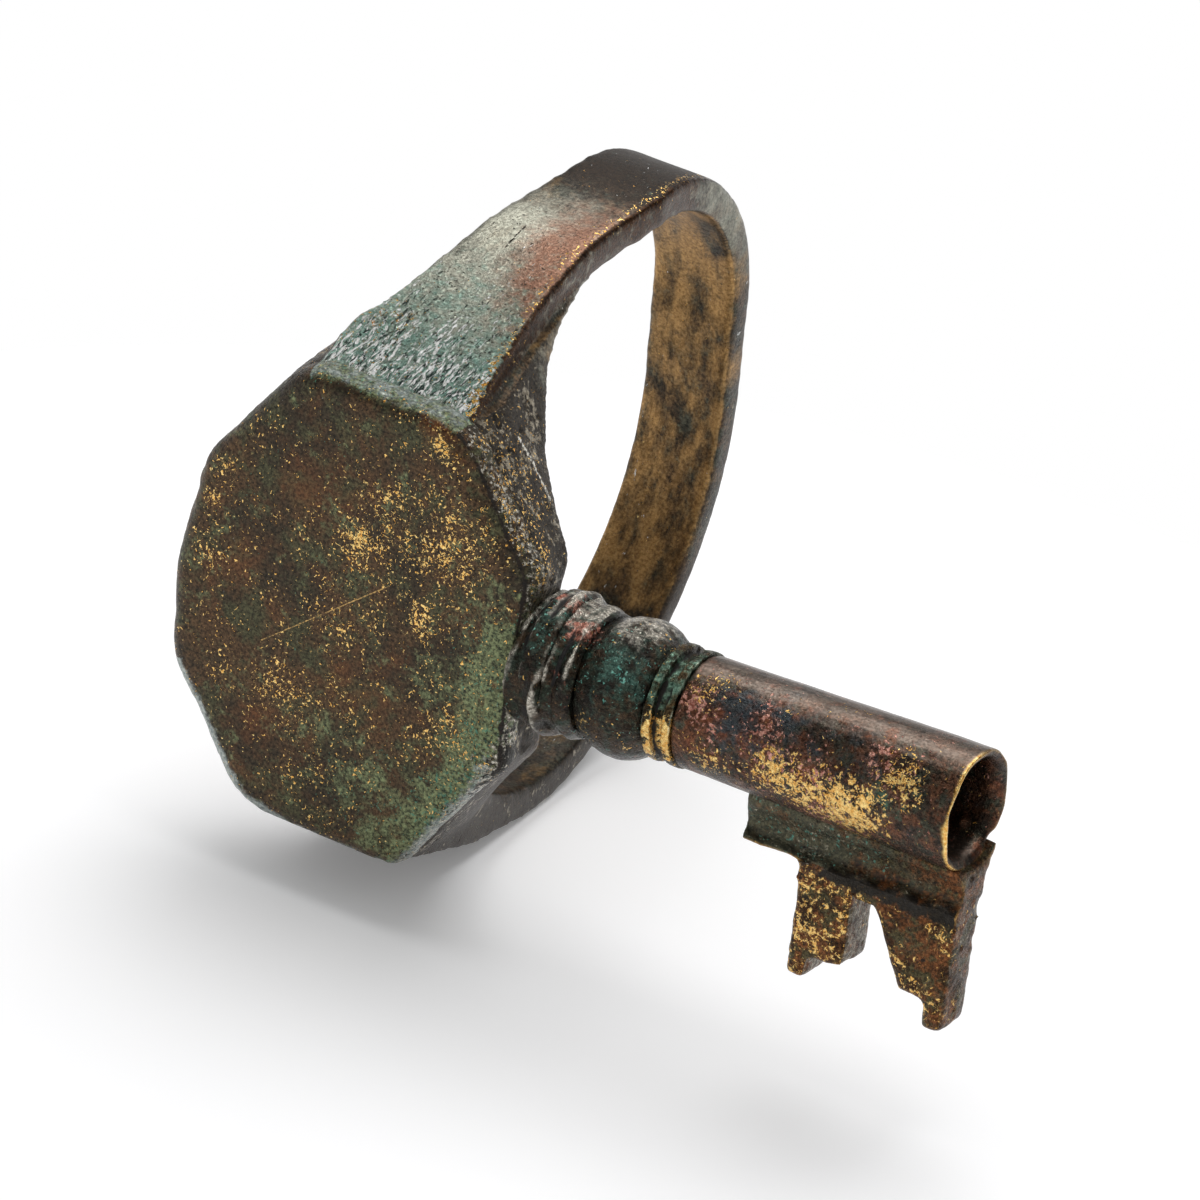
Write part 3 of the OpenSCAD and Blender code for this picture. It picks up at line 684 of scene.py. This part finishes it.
def hoop_shape(p):
    """Goes with the bezel's outline and crust, is fuller on the far side, and laps into the seat."""
    p = rounded_outline(p, ramp(-p[:, 1], -SEAT_Y - 2.0, -SEAT_Y - 0.3))
    p = low_fill(far_fill(p))
    x, y = p[:, 0].copy(), p[:, 1].copy()
    p[:, 0] -= FAR_WIDENING * ramp(-x, 0, 0.5) * ramp(y, 1, 4)
    p[:, [0, 2]] *= 1 - SEAT_DRAWN_IN * ramp(-y, -SEAT_Y - 0.18, -SEAT_Y - 0.03)[:, None]
    p[:, 0] += lumps(p)
    p[:, 1] -= SEAM_LAP * ramp(-p[:, 1], -SEAT_Y - 0.1, -SEAT_Y - 0.02)
    return p


FACE_ROUNDING = 0.6
GROOVE_DEPTH = 0.14


def bezel_shape(p):
    """Rounds the face over its edge, cuts the groove along it on the bit's side, laps into the hoop."""
    inset, inward = face_inset(p)
    p = low_fill(far_fill(rounded_outline(p, np.ones(len(p)))))
    back = np.clip(FACE_ROUNDING - (p[:, 1] - FACE_Y), 0, None)
    out = np.clip(FACE_ROUNDING - inset, 0, None)
    share = np.maximum(back, out) / np.maximum(np.hypot(back, out), 1e-6)
    corner = (back > 0) & (out > 0)
    p[:, 1] += np.where(corner, back * (1 - share), 0)
    shift = np.where(corner, out * (1 - share), 0)
    p[:, [0, 2]] += shift[:, None] * inward
    groove = np.exp(-((inset - 0.3) / 0.12) ** 2) * ramp(-inward[:, 0], 0.5, 0.7) * ramp(p[:, 2], -3, -1)
    p[:, 1] += np.where(back > 0, GROOVE_DEPTH * groove, 0)
    p[:, 1] += spots(p, (3.05, FACE_Y, 5.0, 0.13, 0.25)) * (back > 0)
    p[:, 1] += SEAM_LAP * ramp(p[:, 1], SEAT_Y - 0.1, SEAT_Y - 0.03)
    p[:, 0] += lumps(p)
    return p


def flank_crust(p):
    """How strong the crust is on the bezel's sides and on the flanks behind it."""
    return np.exp(-((p[:, 1] - SEAT_Y) / 1.5) ** 2)


def shoulder_edge(y):
    """Half the upper shoulder's width on the bit's side, at each depth."""
    flare = 30.0 - np.sqrt(28.6 ** 2 - (y + 1.2) ** 2)
    return np.minimum(flare, 2.6 - 1.2 * (y + 9.4) / 12.8)


def hoop_zones(p, n):
    x, y, z = p.T
    inside = ramp(-(n[:, 1] * y + n[:, 2] * z) / np.hypot(y, z), 0.3, 0.8)
    outside = 1 - inside
    top = ramp(n[:, 2], 0.65, 0.88) * outside * ramp(z, 4.5, 6)
    from_edge = x - shoulder_edge(y)
    top *= 1 - ramp(from_edge, -0.05, 0.1)
    side = ramp(np.abs(n[:, 0]), 0.5, 0.8) * outside
    near = top * np.exp(-((y + 9.0) / 2.4) ** 2)
    middle = top * np.exp(-((y + 5.6) / 2.4) ** 2)
    upper = top * np.exp(-((y + 1.6) / 1.8) ** 2)
    flank = side * flank_crust(p)
    web = side * np.exp(-((y + 7.2) / 2.2) ** 2) * ramp(z, 2, 4.5)
    # The band's outside low down, which the crust darkens partly as painted shade.
    foot = outside * ramp(-z, 4, 6.5)
    strokes = top * np.exp(-((y + 9.4) / 3.6) ** 2)
    return {
        "soften": ramp(y, SEAT_Y + 0.1, SEAT_Y + 0.5),
        "rough": 0.15 + 1.1 * near + 0.45 * middle + 1.8 * flank + 1.2 * web,
        # On the hoop this zone places only the wrinkle strokes, that is their painted highlight and painted
        # shade.
        "silver_and_glints": 0.5 * near + 0.4 * strokes + 0.3 * middle + spots(p, (5.3, -9.2, 2.8, 0.8, 0.6)),
        # The side term keeps the pale film to the upper sides, so they are lighter above than below: painted
        # light.
        "bare_and_sheen": 0.8 * near + 0.95 * middle + 0.8 * upper + side * 0.5 * ramp(z, 4, 6.5),
        "crust": np.minimum(flank + web + 0.75 * foot, 1),
        # Dark film on the crown and low on the band's outside: painted shade.
        "blue": top * ramp(y, -0.6, 2.0) + 0.9 * outside * ramp(-z, 2, 6),
        "green": 0.7 * near + 0.35 * middle + spots(p, (5.0, -8.6, 4.0, 0.9, 0.6)),
        "copper": top * spots(p, (1.0, -2.6, 8.9, 1.6, 0.9), (1.4, -4.6, 8.2, 1.4, 0.9),
                              (0.9, -0.6, 9.3, 1.6, 0.5), (1.7, -6.2, 7.6, 1.0, 0.5)),
        "tan": inside * (0.95 - 0.5 * ramp(-z, 4, 7)) + 0.15 * outside * ramp(y, 2, 6),
        "gilt": spots(p, (-2.0, -7.0, 7.2, 1.2, 0.6), (3.2, -9.0, 5.6, 1.2, 0.5), (4.4, -9.0, 4.2, 1.0, 0.5),
                      (5.2, -9.2, 3.0, 0.8, 0.9)) + 1.1 * top * np.exp(-((from_edge + 0.28) / 0.22) ** 2)
        + 0.45 * near + 0.2 * flank * ramp(z, 1, 3) + 0.4 * web,
        "crease": ramp(z, 4, 6) * outside * np.exp(-((from_edge + 0.06) / 0.13) ** 2),
    }


def bezel_zones(p, n):
    x, y, z = p.T
    inset, inward = face_inset(p)
    around = np.clip(inset, 0, 1) - (y - FACE_Y)
    face = ramp(around, -0.4, 0.5)
    rim = 1 - face
    strip = rim * ramp(-inward[:, 1], 0.7, 0.95)
    low_rim = rim * ramp(inward[:, 1], 0.2, 0.7)
    bit_side = rim * ramp(-inward[:, 0], 0.3, 0.7)
    gold = spots(p, (0.1, FACE_Y, 2.2, 0.6, 1.0), (2.2, FACE_Y, 2.6, 0.9, 0.5), (2.5, FACE_Y, 0.6, 0.6, 0.9),
                 (-4.4, FACE_Y, 2.8, 0.35, 0.9), (-4.8, FACE_Y, 1.7, 0.35, 0.9),
                 (-3.6, FACE_Y, 4.8, 0.6, 0.5),
                 (1.9, FACE_Y, 6.2, 0.6, 0.8), (2.4, FACE_Y, 5.5, 0.5, 0.7), (0.9, FACE_Y, 3.6, 0.8, 0.6),
                 (-2.1, FACE_Y, -3.1, 0.8, 0.45), (-3.7, FACE_Y, -3.4, 0.8, 0.35),
                 (-1.2, FACE_Y, -3.3, 0.7, 0.4),
                 (3.6, FACE_Y, -2.5, 1.0, 0.7), (0.2, FACE_Y, 0.4, 3.0, 0.4), (3.4, FACE_Y, 3.5, 1.4, 0.5),
                 (-4.8, FACE_Y, 0.0, 0.8, 0.5), (0.0, FACE_Y, -5.0, 1.6, 0.3))
    # The groove along the face's edge on the bit's side, which gets painted shade and less gold.
    groove = np.exp(-((around + 0.08) / 0.15) ** 2) * ramp(-inward[:, 0], 0.4, 0.6) * ramp(z, -4, -3)
    # A band on the lower rim towards the left, made pale as a painted highlight.
    pale_edge = ramp(-around, -0.7, -0.2) * ramp(inward[:, 1], 0.2, 0.7) * ramp(-x, 0.5, 2)
    return {
        "soften": ramp(-y, -SEAT_Y, -SEAT_Y + 0.3),
        "rough": 0.15 + 1.0 * rim * flank_crust(p),
        "gilt": 0.3 + 0.9 * gold * face + 0.35 * bit_side * ramp(z, 0, 2) - groove,
        "copper": spots(p, (-1.2, FACE_Y, 3.4, 1.5, 1.0), (-3.9, FACE_Y, 0.4, 1.3, 0.9),
                        (1.0, FACE_Y, -2.1, 1.4, 0.9), (1.8, FACE_Y, 6.5, 0.9, 1.3),
                        (-2.6, FACE_Y, -4.4, 1.2, 0.6)),
        "green": 0.15 + 0.9 * ramp(x, 2.4, 4.8) * ramp(-z, -3.6, 0) + 0.7 * ramp(x + 0.7 * z, -5.5, -1)
        * ramp(-z, 2.5, 5.5) + 1.0 * strip,
        # Pale film: worn metal on the top strip and the bit's side, a painted highlight on the lower rim and
        # its pale edge.
        "bare_and_sheen": 0.75 * strip + 0.9 * low_rim + 0.2 * bit_side + pale_edge
        + spots(p, (5.0, -9.7, -3.3, 0.9, 0.8)),
        "silver_and_glints": 0.7 * bit_side + spots(p, (5.2, -9.6, -3.1, 1.0, 1.1)),
        "crease": groove,
    }


TURNING_MM = 0.38
TURNING_DEPTH = 0.09


def ring_shape(p):
    """Lengthens a ring at both ends into its neighbours, and turns fine worn grooves round it."""
    along, behind, above = on_shank(p)
    radius = np.hypot(behind, above)
    turn = np.arctan2(above, behind)
    groove = np.sin(2 * math.pi * along / TURNING_MM + 0.8 * np.sin(2 * turn))
    groove *= 0.6 + 0.4 * np.sin(3 * turn + 4 * along)
    wider = 1 + TURNING_DEPTH * groove * ramp(radius, 1.2, 1.5) / np.maximum(radius, 0.5)
    middle = (along.min() + along.max()) / 2
    p[:, 0] += SEAM_LAP * np.sign(along - middle) * ramp(np.abs(along - middle), 0.1, 0.2)
    p[:, 1] = SHANK_Y + behind * wider
    p[:, 2] += above * (wider - 1)
    return p


BALL_LAP = 0.18


def ball_shape(p):
    """Lengthens the ball towards the collar before it."""
    along = on_shank(p)[0]
    p[:, 0] -= BALL_LAP * ramp(-along, -along.min() - 0.5, -along.min())
    return p


def neck_zones(p, n):
    return {
        "green": 0.15 + spots(p, (6.1, -9.6, 1.4, 0.9, 0.8), (8.3, -10.1, 1.5, 0.8, 0.7),
                              (9.0, -10.2, 0.9, 0.8, 0.5)),
        "copper": spots(p, (6.05, -8.9, 2.1, 0.4, 1.3), (6.95, -9.5, 1.6, 0.45, 1.3),
                        (6.8, -10.1, 0.6, 0.4, 0.7)),
        "gilt": 0.1 + spots(p, (7.9, -10.5, -0.5, 0.5, 0.9), (9.3, -8.8, 1.8, 0.4, 0.9),
                            (9.3, -10.2, -0.9, 0.4, 0.8)),
        # Upward-facing tops: worn metal and a painted highlight.
        "bare_and_sheen": 0.8 * ramp(n[:, 2], 0.68, 0.95),
    }


def lip_zones(p, n):
    return {
        "gilt": spots(p, (10.1, -10.2, -0.5, 0.9, 1.1), (10.4, -10.3, 0.2, 0.6, 0.8)),
        "green": spots(p, (9.7, -9.6, 1.3, 1.0, 0.9)),
        "bare_and_sheen": 0.6 * ramp(n[:, 2], 0.72, 0.95),
    }


def barrel_zones(p, n):
    along, behind, above = on_shank(p)
    radius = np.hypot(behind, above)
    rim = ramp(along, MOUTH_AT - 0.35, MOUTH_AT - 0.1) * ramp(radius, 1.45, 1.6)
    return {
        "rough": 0.45 - 0.35 * ramp(n[:, 2], 0.6, 0.9),
        "gilt": 0.1 + spots(p, (15.6, -10.36, 0.2, 1.2, 0.9), (16.8, -10.3, -0.1, 1.1, 0.9),
                            (17.4, -10.0, 1.5, 0.6, 1.0), (13.7, -10.3, 0.4, 0.7, 0.9),
                            (11.4, -10.2, 0.0, 0.9, 0.7), (13.7, -9.5, 1.8, 0.4, 0.6),
                            (11.6, -9.3, 1.8, 0.5, 0.6), (18.0, -10.1, 1.2, 0.6, 0.7),
                            (12.6, -10.2, -0.3, 0.9, 0.6), (14.4, -10.3, -0.3, 0.8, 0.8),
                            (11.0, -9.7, 1.6, 0.5, 0.9), (16.0, -9.7, -1.2, 0.9, 0.5)),
        "copper": 0.4 + spots(p, (13.1, -10.2, 1.0, 0.8, 0.9), (16.7, -9.8, 1.7, 0.6, 0.9),
                              (10.9, -10.0, 1.2, 0.5, 0.9), (11.6, -10.2, 0.7, 0.6, 0.9),
                              (15.5, -9.9, -0.8, 1.2, 0.8), (14.9, -10.2, 0.8, 0.6, 0.6)),
        "blue": spots(p, (13.3, -9.8, 1.5, 1.4, 0.9), (12.0, -9.9, 1.2, 0.8, 0.7),
                      (16.0, -9.9, 1.3, 1.2, 0.5)),
        # Upward-facing top: worn metal with a painted sheen.
        "bare_and_sheen": 0.9 * ramp(n[:, 2], 0.72, 0.95),
        "green": spots(p, (17.3, -10.3, 0.9, 0.8, 0.8), (18.3, -9.9, 1.2, 0.6, 0.5)),
        "crease": rim * (0.25 + 0.75 * ramp(-behind, -0.2, 0.8)),
    }


BITE_BEHIND, BITE_ABOVE = 1.2, -1.35
BITE_R, BITE_DEPTH = 0.45, 0.25
MOUTH_FLARE = 0.12


def barrel_shape(p):
    """Wears the mouth: a thin uneven rim, and a bite out of it low on the far side."""
    along, behind, above = on_shank(p)
    radius = np.hypot(behind, above)
    turn = np.arctan2(above, behind)
    mouth = ramp(along, MOUTH_AT - 0.5, MOUTH_AT)
    wider = 1 + MOUTH_FLARE * mouth * ramp(-radius, -1.72, -1.6) / np.maximum(radius, 0.5)
    p[:, 1] = SHANK_Y + behind * wider
    p[:, 2] += above * (wider - 1)
    apart = np.hypot(behind - BITE_BEHIND, above - BITE_ABOVE)
    wear = 0.03 + 0.02 * np.sin(3 * turn + 1) + 0.015 * np.sin(7 * turn)
    p[:, 0] -= mouth * (wear + BITE_DEPTH * ramp(BITE_R - apart, 0, BITE_R))
    blister = spots(p, (18.41, -7.67, -0.45, 0.16, 0.14)) * ramp(-radius, -1.65, -1.5)
    p[:, 1] -= 0.73 * blister
    p[:, 2] += 0.68 * blister
    return p


CRACK_X, CRACK_WIDTH, CRACK_DEPTH = 16.34, 0.05, 0.1
RIDGE_WIDTH, RIDGE_DEPTH = 0.13, 0.18


def saddle_shape(p):
    """A ridge along the saddle's lower edge, a crack down its front, and its top let into the barrel."""
    along, behind, above = on_shank(p)
    front = ramp(-behind, 0.3, 0.5)
    waver = 0.08 * np.sin(9 * p[:, 2])
    crack = np.exp(-((p[:, 0] - CRACK_X + waver) / CRACK_WIDTH) ** 2)
    ridge = np.exp(-((above + SADDLE_DROP - 0.1 + 0.04 * np.sin(5 * along)) / RIDGE_WIDTH) ** 2)
    hollow = spots(p, (19.0, -9.3, -2.28, 0.35, 0.12))
    p[:, 1] += front * (CRACK_DEPTH * crack - RIDGE_DEPTH * ridge + hollow)
    radius = np.hypot(behind, above)
    tight = 1 - 0.1 * ramp(-radius, -1.95, -1.85) / radius
    p[:, 1] += behind * (tight - 1)
    p[:, 2] += above * (tight - 1)
    return p


def ward_shape(p):
    above = on_shank(p)[2]
    p[:, 2] += SEAM_LAP * ramp(above, -RIB_BOTTOM - 0.1, -RIB_BOTTOM - 0.02)
    return p


def bit_zones(p, n):
    x = p[:, 0]
    above = on_shank(p)[2]
    saddle = ramp(above, -SADDLE_DROP - 0.02, -SADDLE_DROP + 0.12)
    front = ramp(-n[:, 1], 0.4, 0.8)
    end = ramp(n[:, 0], 0.5, 0.9)
    return {
        "soften": ramp(np.abs(above + RIB_BOTTOM), 0.05, 0.35),
        "rough": 0.5 + 0.8 * (1 - front),
        "green": saddle * (1.1 - 0.8 * ramp(x, 15, 18.5)),
        "gilt": (1 - saddle) * front * (1.0 - 0.5 * ramp(x, 17.3, 17.8)) + 0.4 * end
        + spots(p, (18.0, -9.4, -4.6, 0.6, 0.6), (19.0, -9.4, -5.3, 0.6, 0.6), (19.3, -9.3, -3.0, 0.5, 0.6)),
        "silver_and_glints": (1 - saddle) * (1 - front) * (0.9 - 0.45 * ramp(x, 17, 18)),
        "crease": np.exp(-((above + SADDLE_DROP + 0.1) / 0.28) ** 2) * ramp(x, 14.5, 16)
        * ramp(-n[:, 0], -0.7, -0.4),
    }


worn("hoop", 0.096, "shoulder_bronze", hoop_zones, 0.2, hoop_shape,
     grain_stretch=(1.0, 0.3, 0.3), pit_depth=0.03)
worn("bezel_plate", 0.065, "bezel_bronze", bezel_zones, 0.22, bezel_shape)
for ring in ("shank_foot", "inner_collar", "outer_collar"):
    worn(ring, 0.04, "neck_bronze", neck_zones, 0.05, ring_shape, wave_depth=0.1, wave_size=0.8)
worn("ball_knop", 0.045, "neck_bronze", neck_zones, 0.12, ball_shape, wave_depth=0.05, wave_size=1.3)
worn("barrel_collar", 0.035, "gilded_bronze", lip_zones, 0.045, wave_depth=0.05, wave_size=1.0)
worn("barrel", 0.055, "barrel_bronze", barrel_zones, 0.07, barrel_shape)
worn("bit_saddle", 0.045, "bit_bronze", bit_zones, 0.11, saddle_shape)
for ward in ("rear_ward", "front_ward"):
    worn(ward, 0.04, "bit_bronze", bit_zones, 0.25, ward_shape)

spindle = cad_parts["spindle"]
spindle.data.materials.clear()
spindle.data.materials.append(FINISHES["neck_bronze"])

bpy.context.view_layer.update()
